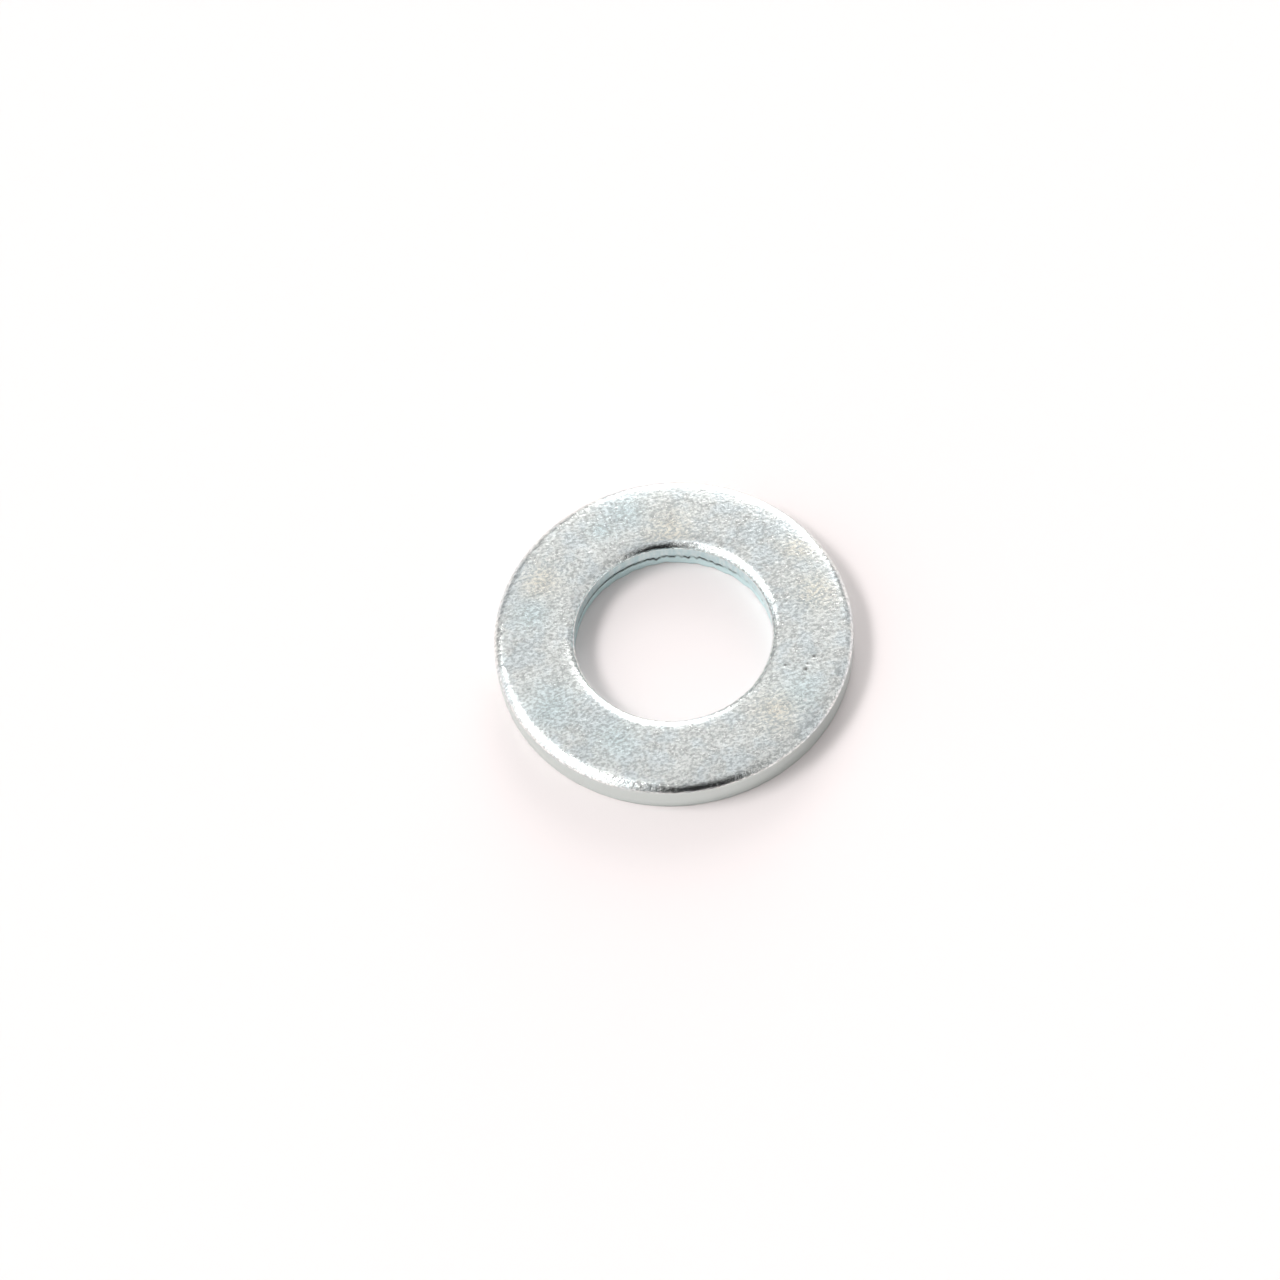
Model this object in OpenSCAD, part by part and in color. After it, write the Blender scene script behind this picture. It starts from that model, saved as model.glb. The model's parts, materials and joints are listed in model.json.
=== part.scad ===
// Flat washer for an M12 screw, normal series, blanked in one stroke from steel sheet.
// It is one solid ring. Blanking rolls both upper edges over, leaves a smooth land
// on each wall, and lets the lower part of each wall break away with a slight taper.
// The origin is on the bore axis, on the flat lower face, and +Z points along the bore
// towards the face with the rolled edges.

/* [Washer] */
// Outer diameter of the ring
outer_d = 23.75; // [22:0.05:26]
// Diameter of the bore at its smooth land
bore_d = 13.15; // [12.3:0.05:14.5]
// Thickness of the sheet, from face to face
thickness = 2.4; // [2.2:0.1:3]

/* [Rolled edges] */
// Width of the rim's rolled edge, across the upper face
rim_roll_w = 0.55; // [0.4:0.05:1]
// Depth of the rim's rolled edge, down the wall
rim_roll_d = 0.45; // [0.3:0.05:0.7]
// Width of the bore's rolled edge, across the upper face
bore_roll_w = 0.55; // [0.4:0.05:1.2]
// Depth of the bore's rolled edge, down the wall
bore_roll_d = 0.4; // [0.3:0.05:0.7]
// Slope at which a rolled edge leaves the upper face, in degrees
roll_run_out = 8; // [6:1:12]

/* [Walls] */
// Height above the lower face at which the rim's smooth land ends
rim_land_z = 0.6; // [0.2:0.1:1.2]
// How far the rim draws in at the lower face
rim_taper = 0.035; // [0.01:0.005:0.1]
// Height above the lower face at which the bore's smooth land ends
bore_land_z = 1.1; // [0.2:0.1:1.2]
// How far the bore opens at the lower face
bore_taper = 0.04; // [0.01:0.005:0.1]

/* [Hidden] */
$fn = 144;
rim_r = outer_d / 2;
bore_r = bore_d / 2;
zinc = [0.78, 0.81, 0.82];

// Radius of the arc that leaves the face at the run-out slope, and falls by depth over width.
function roll_radius(width, depth) =
    norm([width, depth]) / (2 * sin(atan2(depth, width) - roll_run_out));

// What a rolled edge takes off a square corner at the origin, with the solid below and left.
module roll_cut(width, depth) {
    radius = roll_radius(width, depth);
    difference() {
        translate([-width, -depth])
            square([2 * width, 2 * depth]);
        translate([-width - radius * sin(roll_run_out), -radius * cos(roll_run_out)])
            circle(r = radius);
    }
}

// One half of the ring cut along its axis: radius across, height up.
module ring_section() {
    difference() {
        polygon([
            [bore_r + bore_taper, 0],
            [rim_r - rim_taper, 0],
            [rim_r, rim_land_z],
            [rim_r, thickness],
            [bore_r, thickness],
            [bore_r, bore_land_z]
        ]);
        translate([rim_r, thickness])
            roll_cut(rim_roll_w, rim_roll_d);
        translate([bore_r, thickness])
            mirror([1, 0])
                roll_cut(bore_roll_w, bore_roll_d);
    }
}

// The whole washer, turned about the bore axis.
module washer() {
    color(zinc)
        rotate_extrude()
            ring_section();
}

washer();
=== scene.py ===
"""Looks of the flat washer: one zinc-plated ring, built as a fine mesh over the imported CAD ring.

Lengths are in millimetres in the named values and in the section, and in metres in Blender.
Angles round the ring are in degrees, counter-clockwise from +X, seen from above.
"""

import json
import math

import bpy
import numpy as np
from mathutils import Matrix, Vector, noise


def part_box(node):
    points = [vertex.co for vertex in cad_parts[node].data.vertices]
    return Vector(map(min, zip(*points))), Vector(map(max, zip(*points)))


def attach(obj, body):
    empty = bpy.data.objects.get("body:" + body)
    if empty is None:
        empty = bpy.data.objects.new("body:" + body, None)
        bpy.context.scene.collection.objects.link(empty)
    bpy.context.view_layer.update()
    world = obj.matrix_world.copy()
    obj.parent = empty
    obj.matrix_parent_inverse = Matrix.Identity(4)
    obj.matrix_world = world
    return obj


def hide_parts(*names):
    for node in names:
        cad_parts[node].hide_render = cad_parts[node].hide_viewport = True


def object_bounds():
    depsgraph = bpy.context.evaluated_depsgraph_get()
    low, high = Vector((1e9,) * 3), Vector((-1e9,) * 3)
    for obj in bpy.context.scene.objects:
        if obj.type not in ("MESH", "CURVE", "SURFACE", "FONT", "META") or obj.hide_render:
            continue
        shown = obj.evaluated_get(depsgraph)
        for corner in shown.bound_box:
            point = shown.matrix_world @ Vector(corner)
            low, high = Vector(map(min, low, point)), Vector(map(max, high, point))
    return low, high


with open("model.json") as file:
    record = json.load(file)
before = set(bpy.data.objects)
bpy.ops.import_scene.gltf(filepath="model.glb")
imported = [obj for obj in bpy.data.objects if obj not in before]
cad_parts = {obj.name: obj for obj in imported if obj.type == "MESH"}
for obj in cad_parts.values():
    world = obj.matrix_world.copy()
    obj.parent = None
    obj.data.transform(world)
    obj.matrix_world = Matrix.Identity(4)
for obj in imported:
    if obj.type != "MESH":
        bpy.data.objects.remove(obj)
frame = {"record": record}
CAD_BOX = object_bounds()

MM = 0.001

# ---- sizes read from the frame ---------------------------------------------------------------
MOUNTS = {mount["name"]: mount for mount in frame["record"]["mounts"]}
RIM_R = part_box("washer")[1].x / MM
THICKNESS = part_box("washer")[1].z / MM
BORE_R = MOUNTS["bore"]["dims"]["r_mm"]
BORE_LAND = MOUNTS["bore"]["dims"]["length_mm"]
BORE_LAND_LOW = MOUNTS["bore"]["pos_m"][2] / MM - BORE_LAND / 2
BORE_LAND_HIGH = BORE_LAND_LOW + BORE_LAND

# ---- the rolled edges and the tapers, up to about a tenth of a millimetre off the CAD ring's ---
LAND_WEAR = 0.06                 # how far the bore's land is worn back at its top
RIM_CROWN, RIM_CROWN_POWER = 0.08, 4      # fall of the face towards the rim, and how late it is
BORE_CROWN, BORE_CROWN_POWER = 0.07, 8    # the same towards the bore
RIM_ROLL_W, RIM_ROLL_D = 0.63, 0.46       # width across the face, and depth down the wall
BORE_ROLL_W, BORE_ROLL_D = 0.45, THICKNESS - BORE_CROWN - BORE_LAND_HIGH + LAND_WEAR
RIM_RUN_OUT = math.radians(8)    # slope at which a rolled edge leaves the face
BORE_RUN_OUT = math.radians(14)
ROLL_CROWDING = 1.6              # how closely a rolled edge's rows crowd towards the wall
RIM_LAND_LOW = 0.6               # height at which the rim's smooth land ends
RIM_TAPER, BORE_TAPER = 0.035, 0.04       # how far each wall draws back at its foot

# ---- what blanking and tumbling leave behind -------------------------------------------------
EDGE_BREAK = 0.05                # size of the worn corners of the lower face
FACE_SWELL = 0.004               # height of the face's slow waves
FACE_DIMPLE = 0.003              # height of its small dimples
PORE_DEPTH = 0.035               # depth of the small dark pits
ROLL_WANDER = 0.05               # how far the rolled edges' width strays
CORNER = 0.012                   # how far below a rolled edge its wall is plumb
LIP_ROUND = 0.014                # rounding of the bore land's torn lower edge
LIP = 0.022                      # step behind that edge, where the steel tore
TEETH = 0.35                     # height of the torn edge's ragged teeth
CREVICE_DEPTH = 0.05             # of the crack below the torn edge
CREVICE_DROP, CREVICE_SPREAD = 0.15, 0.18     # its middle below the torn edge, and half height, for both its depth and its painted shade
TORN_RELIEF = 0.02               # roughness of the torn wall
BORE_STREAK, RIM_STREAK = 0.004, 0.0016       # depth of the drawn streaks on the lands
ROLLING_DIRECTION = 12           # the sheet's own streaks run this way

# Places on the upper face as (x, y, radius): pores, bright grains, and stains of the plating.
PORES = ((8.94, -3.29, 0.13), (8.45, -3.76, 0.10), (8.31, -4.15, 0.12), (6.98, -3.66, 0.10))
GRAINS = ((7.05, -2.95, 0.10), (7.97, -6.45, 0.11), (7.16, -7.48, 0.12))
WARM_STAINS = ((-8.3, 5.1, 1.3), (0.7, 7.7, 1.6), (9.7, 1.65, 1.3), (5.9, -7.0, 1.5), (8.9, 5.2, 1.0))
COOL_STAINS = ((-3.95, 8.4, 0.8), (-2.1, 9.7, 1.3), (-9.2, 2.5, 1.2), (-8.6, -4.5, 1.7),
               (-4.6, -7.6, 1.5), (7.7, -5.7, 1.5))
SCRATCH = ((5.38, 7.39), (6.47, 8.03), 0.045, 0.012)     # from, to, half width, depth

# ---- mesh ------------------------------------------------------------------------------------
AROUND = 800                     # columns of vertices round the ring
ROWS_TORN = 16
ROWS_LAND = 8
ROWS_BORE_ROLL = 14
ROWS_FACE = 52
ROWS_RIM_ROLL = 13
ROWS_RIM = 10
ROWS_UNDERSIDE = 10
ANGLE = np.linspace(0, 2 * math.pi, AROUND, endpoint=False)


def waves(radius, height, per_mm, seed):
    """Smooth noise from about -1 to 1 at these points of the ring, with this many waves a mm."""
    x, y, z = np.broadcast_arrays(radius * np.cos(ANGLE), radius * np.sin(ANGLE), height + seed)
    points = np.stack([x, y, z], axis=-1).reshape(-1, 3) * per_mm
    return np.array([noise.noise(point) for point in points.tolist()]).reshape(x.shape)


def ease(value, none, full):
    """0 at none, 1 at full, smooth between."""
    t = np.clip((value - none) / (full - none), 0, 1)
    return t * t * (3 - 2 * t)


def near_angle(middle, half, soft):
    """1 within this many degrees of an angle round the ring, fading to 0 over the soft ones."""
    away = np.abs((np.degrees(ANGLE) - middle + 180) % 360 - 180)
    return 1 - ease(away, half, half + soft)


def column(values):
    """An array that gives each row of a part of the section its own value."""
    return np.asarray(values, dtype=float)[:, None]


def rolled_shares(count):
    """Shares of a rolled edge's turn from the face to the wall, closest together at the wall."""
    return column(1 - np.linspace(1, 0, count) ** ROLL_CROWDING)


def roll_arc(width, depth, run_out, count):
    """Rows of a rolled edge, from (0, 0) on the face out and down to (width, -depth)."""
    chord = np.arctan2(depth, width)
    radius = np.hypot(width, depth) / (2 * np.sin(chord - run_out))
    turn = run_out + rolled_shares(count) * 2 * (chord - run_out)
    across = radius * (np.sin(turn) - math.sin(run_out))
    down = radius * (math.cos(run_out) - np.cos(turn))
    return across, -down


def wander(radius, seed):
    """How the width of a rolled edge strays round the ring."""
    return ROLL_WANDER * (waves(radius, 0, 0.8, seed) + 0.5 * waves(radius, 0, 3.3, seed + 3))


def torn_line():
    """Height at which the bore's land ends, and how strongly the steel tore there, which sets the
    crack's depth and its painted shade.
    """
    slow = waves(BORE_R, 0, 0.22, 3.1)
    ragged = 0.5 * waves(BORE_R, 0, 1.7, 7.7) + 0.7 * waves(BORE_R, 0, 3.9, 1.3)
    clean = near_angle(135, 25, 18)
    height = BORE_LAND_LOW - 0.05 + 0.06 * slow + TEETH * ragged * (1 - 0.85 * clean)
    dashes = ease(waves(BORE_R, 0, 2.4, 9.2), -0.25, 0.15)
    strength = clean + (1 - clean) * (0.25 + 0.75 * dashes)
    return height, strength * (1 - 0.7 * near_angle(28, 12, 14))


def bore_wall():
    """The torn lower part of the bore and its smooth land, from the foot upwards."""
    line, strength = torn_line()
    foot = EDGE_BREAK * np.maximum(2.4 + 3.5 * waves(BORE_R, 0, 1.4, 5.5), 0.6)
    share = column(np.linspace(1, 0, ROWS_TORN) ** 1.6)
    below = share * (line - foot)
    height = line - below
    # mask of the crack below the torn edge: it deepens the wall, and the colour turns near black
    # there as painted shade
    crevice = strength * np.exp(-((below - CREVICE_DROP) / CREVICE_SPREAD) ** 4)
    torn = 0.5 + 0.5 * waves(BORE_R, height * 0.35, 3.0, 2.2)
    grit = 0.5 + 0.5 * waves(BORE_R, height, 6.5, 4.4)
    depth = LIP + BORE_TAPER * share + CREVICE_DEPTH * crevice
    depth = depth + TORN_RELIEF * (torn + 0.5 * grit) * ease(below, 0, 0.15)
    parts = [(BORE_R + depth, height, {"torn": 1, "crevice": crevice, "wall": 1})]

    low, high = line + LIP_ROUND, BORE_LAND_HIGH - LAND_WEAR - CORNER
    height = low + column(np.linspace(0, 1, ROWS_LAND)) * (high - low)
    streak = BORE_STREAK * (0.5 + 0.5 * waves(BORE_R, height * 0.08, 5.0, 6.1))
    parts.append((BORE_R + streak, height, {"wall": 1}))
    return parts


def upper_face(bore_shoulder, rim_shoulder):
    """The crowned face between the rolled edges, with its waves, pores and scratch."""
    share = column(np.linspace(0, 1, ROWS_FACE + 2)[1:-1])
    radius = bore_shoulder + share * (rim_shoulder - bore_shoulder)
    off_middle = np.abs(2 * share - 1)
    to_bore = BORE_CROWN * off_middle ** BORE_CROWN_POWER
    to_rim = RIM_CROWN * off_middle ** RIM_CROWN_POWER
    height = THICKNESS - np.where(share < 0.5, to_bore, to_rim)
    x, y = radius * np.cos(ANGLE), radius * np.sin(ANGLE)
    edge = ease(share, 0, 0.12) * ease(share, 1, 0.88)
    swell = waves(radius, 0, 0.45, 8.8)
    dimple = waves(radius, 0, 2.1, 1.9)
    height = height + edge * (FACE_SWELL * (swell - 1) + FACE_DIMPLE * (dimple - 1))
    pores = sum(spot(x, y, place) for place in PORES)
    start, end, half_width, depth = SCRATCH
    scratch = stroke(x, y, start, end, half_width)
    height = height - PORE_DEPTH * pores - depth * scratch
    marks = {
        "pore": pores,
        "grain": sum(spot(x, y, place) for place in GRAINS),
        "warm": sum(spot(x, y, place) for place in WARM_STAINS),
        "cool": sum(spot(x, y, place) for place in COOL_STAINS),
    }
    return radius, height, marks


def spot(x, y, place):
    """A soft round spot that is 1 in its middle."""
    return np.exp(-((x - place[0]) ** 2 + (y - place[1]) ** 2) / place[2] ** 2)


def stroke(x, y, start, end, half_width):
    """A soft straight stroke that is 1 along its middle."""
    along = Vector(end) - Vector(start)
    share = ((x - start[0]) * along.x + (y - start[1]) * along.y) / along.length_squared
    share = np.clip(share, 0, 1)
    away = np.hypot(x - start[0] - share * along.x, y - start[1] - share * along.y)
    return np.exp(-(away / half_width) ** 2)


def rim_wall():
    """The rim's smooth land and the torn part below it, from the top down."""
    line = RIM_LAND_LOW + 0.10 * waves(RIM_R, 0, 0.3, 2.7) + 0.08 * waves(RIM_R, 0, 2.0, 6.6)
    foot = EDGE_BREAK * (1 + 0.6 * waves(RIM_R, 0, 2.5, 3.8))
    share = column(np.linspace(0, 1, ROWS_RIM))
    top = THICKNESS - RIM_CROWN - RIM_ROLL_D - CORNER
    height = top + share * (foot - top)
    torn = ease(line - height, -0.05, 0.1)
    streak = RIM_STREAK * (0.5 + 0.5 * waves(RIM_R, height * 0.08, 3.5, 7.1))
    grit = TORN_RELIEF * (0.5 + 0.5 * waves(RIM_R, height * 0.5, 3.0, 5.9))
    taper = RIM_TAPER * np.clip(1 - height / line, 0, 1)
    return RIM_R - taper - streak - torn * grit, height, {"torn": torn, "wall": 1, "rim": 1}


def section():
    """The ring's section as parts of (radius, height, marks), from the bore's foot upwards."""
    bore_w = BORE_ROLL_W + wander(BORE_R, 4.9)
    rim_w = RIM_ROLL_W + wander(RIM_R, 5.3)
    bore_across, bore_down = roll_arc(bore_w, BORE_ROLL_D, BORE_RUN_OUT, ROWS_BORE_ROLL)
    rim_across, rim_down = roll_arc(rim_w, RIM_ROLL_D, RIM_RUN_OUT, ROWS_RIM_ROLL)
    bore_turned = rolled_shares(ROWS_BORE_ROLL)[::-1]
    rim_turned = rolled_shares(ROWS_RIM_ROLL)
    inner, outer = BORE_R + BORE_TAPER + LIP, RIM_R - RIM_TAPER
    underside = column(np.linspace(outer, inner, ROWS_UNDERSIDE + 2)[1:-1])
    parts = bore_wall()
    bore_height = THICKNESS - BORE_CROWN + bore_down
    parts.append((BORE_R + bore_w - bore_across[::-1], bore_height[::-1], {"roll": bore_turned}))
    parts.append(upper_face(BORE_R + bore_w, RIM_R - rim_w))
    rim_height = THICKNESS - RIM_CROWN + rim_down
    parts.append((RIM_R - rim_w + rim_across, rim_height, {"roll": rim_turned}))
    parts.append(rim_wall())
    parts.append((underside, 0, {}))
    return parts


def stacked(parts, choose):
    """One quantity of the parts as a single array, with a row for each ring of vertices."""
    return np.concatenate([np.broadcast_to(choose(part), (len(part[0]), AROUND)) for part in parts])


def ring_mesh(name, parts):
    """A closed ring mesh from the parts of its section, with their marks as attributes."""
    radius = stacked(parts, lambda part: part[0])
    height = stacked(parts, lambda part: part[1])
    points = np.stack([radius * np.cos(ANGLE), radius * np.sin(ANGLE), height], axis=2)
    index = np.arange(radius.size).reshape(radius.shape)
    right = np.roll(index, -1, axis=1)
    above = np.roll(index, -1, axis=0)
    corner = np.roll(right, -1, axis=0)
    quads = np.stack([index, above, corner, right], axis=2).reshape(-1, 4)
    mesh = bpy.data.meshes.new(name)
    mesh.from_pydata((points.reshape(-1, 3) * MM).tolist(), [], quads.tolist())
    mesh.shade_smooth()
    for mark in sorted({mark for part in parts for mark in part[2]}):
        values = stacked(parts, lambda part: part[2].get(mark, 0.0)).astype(np.float32)
        mesh.attributes.new(mark, "FLOAT", "POINT").data.foreach_set("value", values.ravel())
    return mesh


def make_washer():
    """The visible ring, which stands for the CAD node."""
    mesh = ring_mesh("washer_ring", section())
    ring = bpy.data.objects.new("washer_ring", mesh)
    bpy.context.scene.collection.objects.link(ring)
    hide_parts("washer")
    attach(ring, "root")
    return ring


# ---- materials -------------------------------------------------------------------------------
SILVER = (0.93, 0.95, 0.93, 1)
BLUE_GREY = (0.84, 0.89, 0.90, 1)
CYAN = (0.84, 0.945, 0.96, 1)
CREAM = (0.93, 0.89, 0.79, 1)
LAND_TINT = (0.59, 0.745, 0.765, 1)
TORN_TINT = (0.70, 0.86, 0.87, 1)
RIM_TINT = (0.665, 0.72, 0.70, 1)
# near-black painted shade for the crack below the bore land's torn edge
CRACK_PAINTED_SHADE = (0.035, 0.045, 0.045, 1)
PORE_TINT = (0.16, 0.16, 0.15, 1)
BRIGHT_GRAIN = (0.96, 0.97, 0.96, 1)
DARK_FLECK = (0.66, 0.67, 0.67, 1)       # what the finest flecks make of the colour
LIGHT_FLECK = (1.04, 1.04, 1.04, 1)
RELIEF = 0.042 * MM              # height of the finest relief, from lowest to highest
PAPER = (0.85, 0.79, 0.785, 1)   # a little pink, as it shows in the shadows


class Graph:
    """Short ways to lay nodes in one tree and to link them."""

    def __init__(self, tree):
        self.tree = tree
        self.tree.nodes.clear()

    def node(self, kind, *inputs, **settings):
        """A node with these settings, whose first sockets take these inputs in order."""
        node = self.tree.nodes.new("ShaderNode" + kind)
        for name, value in settings.items():
            setattr(node, name, value)
        for socket, value in zip([s for s in node.inputs if s.enabled], inputs):
            self.feed(socket, value)
        return node

    def feed(self, socket, value):
        """Links the socket to an output, or sets it to a constant."""
        if isinstance(value, bpy.types.NodeSocket):
            self.tree.links.new(value, socket)
        else:
            socket.default_value = value

    def calculate(self, operation, *values):
        return self.node("Math", *values, operation=operation).outputs[0]

    def fade(self, value, none, full, low=0.0, high=1.0):
        """Goes smoothly from low, where the value is none, to high, where it is full."""
        node = self.node("MapRange", value, none, full, low, high, interpolation_type="SMOOTHSTEP")
        return node.outputs[0]

    def swing(self, value, size):
        """The value's swing about a half, made this many times as large."""
        return self.calculate("MULTIPLY", self.calculate("SUBTRACT", value, 0.5), size)

    def mix(self, mask, low, high, blend="MIX"):
        """The low colour where the mask is 0, and the high one where it is 1."""
        node = self.node("Mix", mask, low, high, data_type="RGBA", blend_type=blend)
        return [s for s in node.outputs if s.enabled][0]

    def blend(self, mask, low, high):
        """The low number where the mask is 0, and the high one where it is 1."""
        return self.node("Mix", mask, low, high, data_type="FLOAT").outputs[0]

    def mark(self, name):
        """One of the numbers that the mesh holds at each point."""
        return self.node("Attribute", attribute_name=name).outputs["Fac"]

    def stretch(self, points, turn, along):
        """The points turned to this many degrees, and drawn out by a factor on each axis."""
        node = self.node("Mapping", points, vector_type="TEXTURE")
        node.inputs["Rotation"].default_value = (0, 0, math.radians(turn))
        node.inputs["Scale"].default_value = along
        return node.outputs[0]

    def noise(self, points, per_mm, detail, roughness=0.5):
        node = self.node("TexNoise", points)
        node.inputs["Scale"].default_value = per_mm
        node.inputs["Detail"].default_value = detail
        node.inputs["Roughness"].default_value = roughness
        return node.outputs[0]


def new_material(name):
    """An empty node material: (material, graph, output node)."""
    material = bpy.data.materials.new(name)
    material.use_nodes = True
    graph = Graph(material.node_tree)
    return material, graph, graph.node("OutputMaterial")


def zinc_colour(graph, points, streaked):
    """Silver plating with blue-grey mottling, cyan and cream stains, dark pits, and near-black
    painted shade in the crack below the bore's torn edge.
    """
    mottle = graph.fade(graph.noise(points, 0.55, 3, 0.6), 0.42, 0.62)
    speckle = graph.noise(streaked, 5.5, 3, 0.7)
    colour = graph.mix(mottle, SILVER, BLUE_GREY)
    fleck = graph.fade(speckle, 0.40, 0.60)
    cool = graph.calculate("MULTIPLY", graph.mark("cool"), graph.fade(speckle, 0.30, 0.60, 0.4, 1.0))
    colour = graph.mix(cool, colour, CYAN)
    warm = graph.calculate("MULTIPLY", graph.mark("warm"), graph.fade(speckle, 0.40, 0.60, 0.15, 1.0))
    colour = graph.mix(warm, colour, CREAM)
    colour = graph.mix(1.0, colour, graph.mix(fleck, DARK_FLECK, LIGHT_FLECK), "MULTIPLY")
    drawn = graph.noise(graph.stretch(points, 0, (1, 1, 7)), 3.5, 2, 0.6)
    land = graph.mix(graph.fade(drawn, 0.35, 0.65, 0.0, 0.35), LAND_TINT, SILVER)
    wall = graph.mix(graph.mark("torn"), land, TORN_TINT)
    wall = graph.mix(graph.mark("rim"), wall, RIM_TINT)
    colour = graph.mix(graph.mark("wall"), colour, wall)
    # painted shade: the crack below the bore land's torn edge turns near black
    colour = graph.mix(graph.mark("crevice"), colour, CRACK_PAINTED_SHADE)
    colour = graph.mix(graph.mark("pore"), colour, PORE_TINT)
    return graph.mix(graph.mark("grain"), colour, BRIGHT_GRAIN)


def zinc_relief(graph, points, streaked):
    """Fine grain on the faces, which dies out over the rolled edges, and streaks on the walls."""
    grain = graph.blend(0.35, graph.noise(streaked, 5.0, 3, 0.7), graph.noise(points, 11.0, 2, 0.6))
    grain = graph.swing(grain, graph.fade(graph.mark("roll"), 0.0, 1.0, 1.0, 0.7))
    drawn = graph.swing(graph.noise(graph.stretch(points, 0, (1, 1, 8)), 5.0, 2, 0.6), 0.12)
    ripped = graph.swing(graph.noise(graph.stretch(points, 0, (1, 1, 2.5)), 6.0, 4, 0.7), 1.0)
    walls = graph.blend(graph.mark("torn"), drawn, ripped)
    return graph.blend(graph.mark("wall"), grain, walls)


def zinc_roughness(graph, points):
    """Satin faces with duller and brighter patches, smoother rolled edges and dull torn walls."""
    patches = graph.fade(graph.noise(points, 1.1, 3, 0.6), 0.35, 0.65, 0.27, 0.34)
    level = graph.blend(graph.fade(graph.mark("roll"), 0.0, 0.4), patches, 0.17)
    walls = graph.blend(graph.mark("torn"), 0.32, 0.48)
    return graph.blend(graph.mark("wall"), level, walls)


def zinc_material():
    """Bright zinc plating on tumbled steel. Its patterns are laid out in millimetres."""
    material, graph, output = new_material("zinc_plate")
    place = graph.node("TexCoord").outputs["Object"]
    points = graph.node("VectorMath", place, operation="SCALE")
    points.inputs["Scale"].default_value = 1 / MM
    points = points.outputs[0]
    streaked = graph.stretch(points, ROLLING_DIRECTION, (1.55, 1, 1))
    shader = graph.node("BsdfPrincipled")
    shader.inputs["Metallic"].default_value = 1
    graph.feed(shader.inputs["Base Color"], zinc_colour(graph, points, streaked))
    graph.feed(shader.inputs["Roughness"], zinc_roughness(graph, points))
    bump = graph.node("Bump")
    bump.inputs["Strength"].default_value = 1
    bump.inputs["Distance"].default_value = RELIEF
    graph.feed(bump.inputs["Height"], zinc_relief(graph, points, streaked))
    graph.feed(shader.inputs["Normal"], bump.outputs[0])
    graph.feed(output.inputs[0], shader.outputs[0])
    return material


def paper_material():
    """Plain matt paper."""
    material, graph, output = new_material("paper")
    shader = graph.node("BsdfDiffuse", PAPER)
    graph.feed(output.inputs[0], shader.outputs[0])
    return material


# ---- studio, in metres -------------------------------------------------------------------------
FLOOR_SIZE = 4.0
FLOOR_DROP = 0.00001             # how far below the washer the floor lies
CAMERA_ELEVATION = math.radians(59.7)
CAMERA_ROLL = math.radians(7.2)
CAMERA_DISTANCE = 21.77 * RIM_R * MM
CAMERA_AIM = Vector((-0.187, 0.084, 0)) * RIM_R * MM
LENS, SENSOR_WIDTH = 109.2, 36   # in millimetres


def make_floor():
    bpy.ops.mesh.primitive_plane_add(size=FLOOR_SIZE, location=(0, 0, CAD_BOX[0].z - FLOOR_DROP))
    floor = bpy.context.object
    floor.name = "floor"
    floor.data.materials.append(paper_material())


def direction(azimuth, elevation):
    """Unit vector at these degrees: azimuth is counter-clockwise from +X, seen from above."""
    a = math.radians(azimuth)
    e = math.radians(elevation)
    return Vector((math.cos(a) * math.cos(e), math.sin(a) * math.cos(e), math.sin(e)))


def make_camera():
    """A long lens above the near edge, turned a little, aimed just beside the axis."""
    back = Vector((0, -math.cos(CAMERA_ELEVATION), math.sin(CAMERA_ELEVATION)))
    right = Vector((1, 0, 0))
    up = back.cross(right)
    data = bpy.data.cameras.new("camera")
    data.sensor_width, data.lens = SENSOR_WIDTH, LENS
    data.clip_start, data.clip_end = 0.01, 10
    camera = bpy.data.objects.new("camera", data)
    bpy.context.scene.collection.objects.link(camera)
    turned_right = right * math.cos(CAMERA_ROLL) - up * math.sin(CAMERA_ROLL)
    turned_up = right * math.sin(CAMERA_ROLL) + up * math.cos(CAMERA_ROLL)
    turn = Matrix((turned_right, turned_up, back)).transposed()
    camera.matrix_world = Matrix.Translation(CAMERA_AIM + back * CAMERA_DISTANCE) @ turn.to_4x4()
    bpy.context.scene.camera = camera


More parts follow.
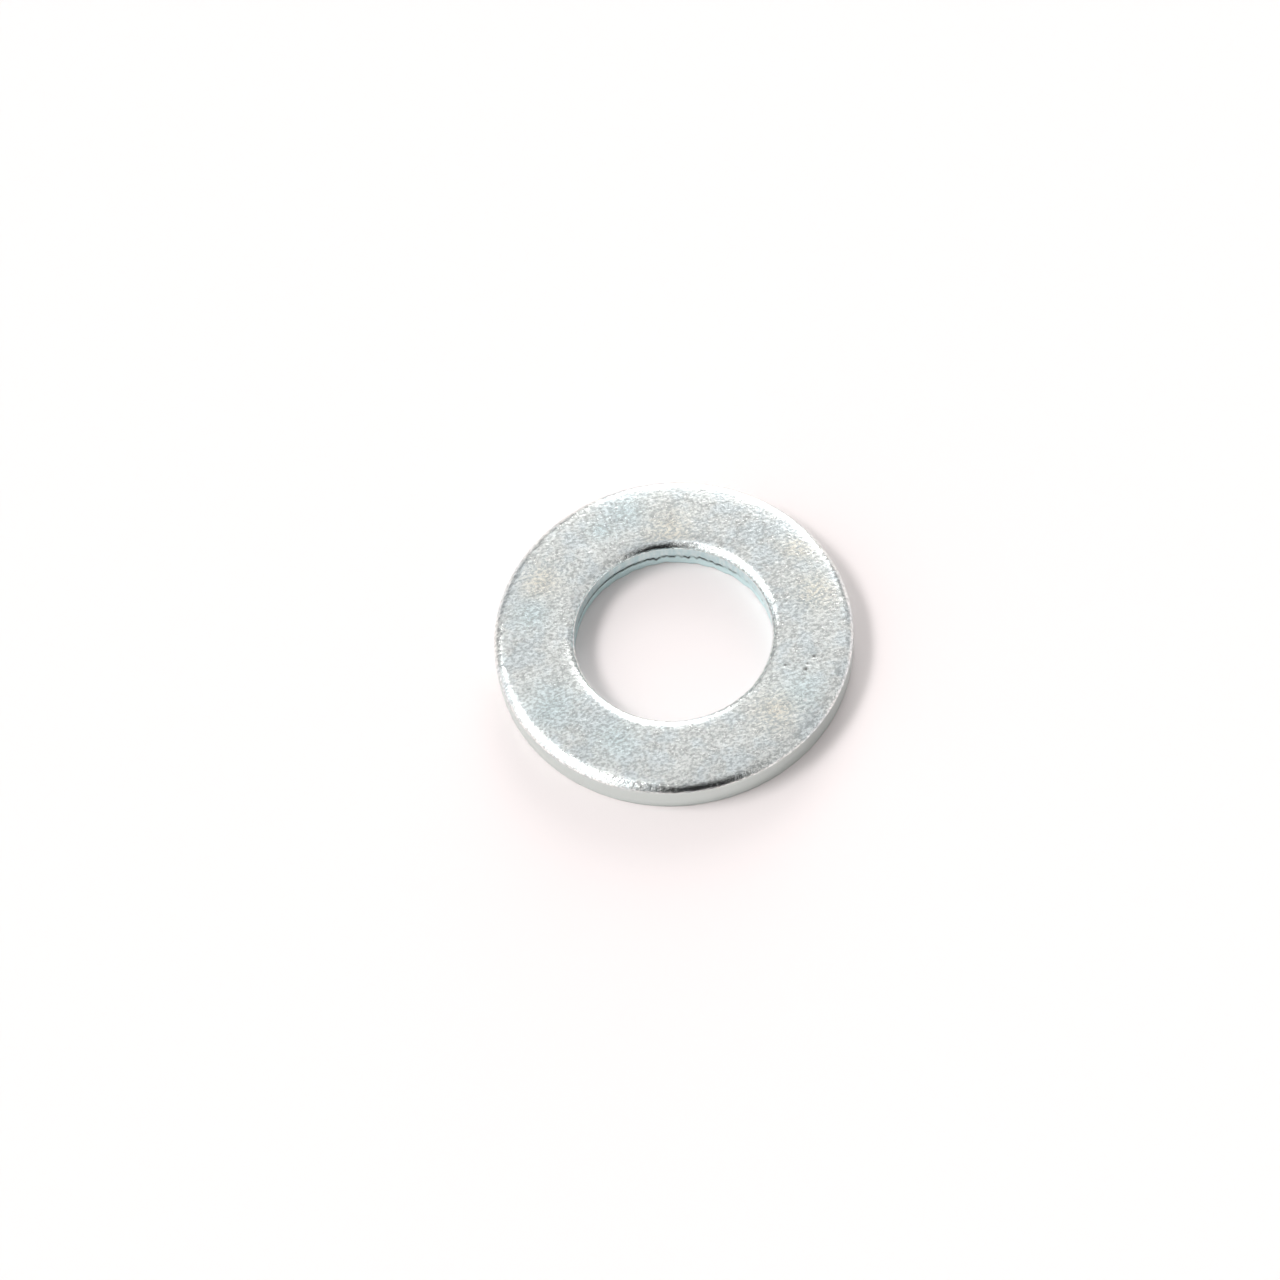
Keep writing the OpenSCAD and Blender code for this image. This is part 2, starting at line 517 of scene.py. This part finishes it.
class Sky(Graph):
    """Builds the world's light out of soft panels at infinity, as a studio's boxes and walls."""

    def __init__(self, level):
        world = bpy.data.worlds.new("studio")
        bpy.context.scene.world = world
        world.use_nodes = True
        super().__init__(world.node_tree)
        self.ray = self.node("TexCoord").outputs["Generated"]
        self.light = self.node("Value").outputs[0]
        self.light.default_value = level

    def along(self, axis):
        """How far the ray goes along this axis."""
        return self.node("VectorMath", self.ray, axis, operation="DOT_PRODUCT").outputs["Value"]

    def panel(self, level, azimuth, elevation, half_width, half_height, edge):
        """Lays a panel of this radiance over the sky. Half sizes and soft edge are in degrees."""
        facing = direction(azimuth, elevation)
        side = Vector((0, 0, 1)).cross(facing).normalized()
        top = facing.cross(side)
        ahead = self.calculate("MAXIMUM", self.along(facing), 0.001)
        mask = 1.0
        for axis, half in ((side, half_width), (top, half_height)):
            offset = self.calculate("ABSOLUTE", self.calculate("DIVIDE", self.along(axis), ahead))
            none, full = math.tan(math.radians(half)), math.tan(math.radians(half - edge))
            mask = self.calculate("MULTIPLY", self.fade(offset, none, full), mask)
        self.light = self.blend(mask, self.light, float(level))

    def finish(self):
        """Lights the scene with the panels, and shows the camera plain white beyond the floor."""
        lit = self.node("Background")
        self.feed(lit.inputs["Strength"], self.light)
        plain = self.node("Background", (1, 1, 1, 1))
        seen = self.node("LightPath").outputs["Is Camera Ray"]
        shader = self.node("MixShader", seen, lit.outputs[0], plain.outputs[0])
        output = self.node("OutputWorld")
        self.feed(output.inputs[0], shader.outputs[0])


def make_light():
    """A pale room with a dark side, a low window behind, and lights high and low on the left."""
    sky = Sky(0.53)
    sky.panel(0.77, 92, 76, 40, 36, 10)      # ceiling, which the level face mirrors
    sky.panel(0.66, 128, 24, 26, 30, 8)      # pale wall behind on the left
    sky.panel(0.90, 350, 30, 48, 34, 10)     # pale wall on the right
    sky.panel(0.02, 275, 22, 25, 35, 8)      # dark side, where the camera stands
    sky.panel(10.0, 76, 6, 25, 37, 21)       # window
    sky.panel(2.0, 198, 28, 40, 30, 6)       # soft light on the left
    sky.panel(19.0, 178, 54, 16, 9, 5)       # key light
    sky.finish()


def set_colour_view():
    """Plain display, so that the paper burns out to white as in a bright product shot."""
    settings = bpy.context.scene.view_settings
    settings.view_transform = "Standard"
    settings.look = "None"


make_camera()
ring = make_washer()
ring.data.materials.append(zinc_material())
make_floor()
make_light()
set_colour_view()
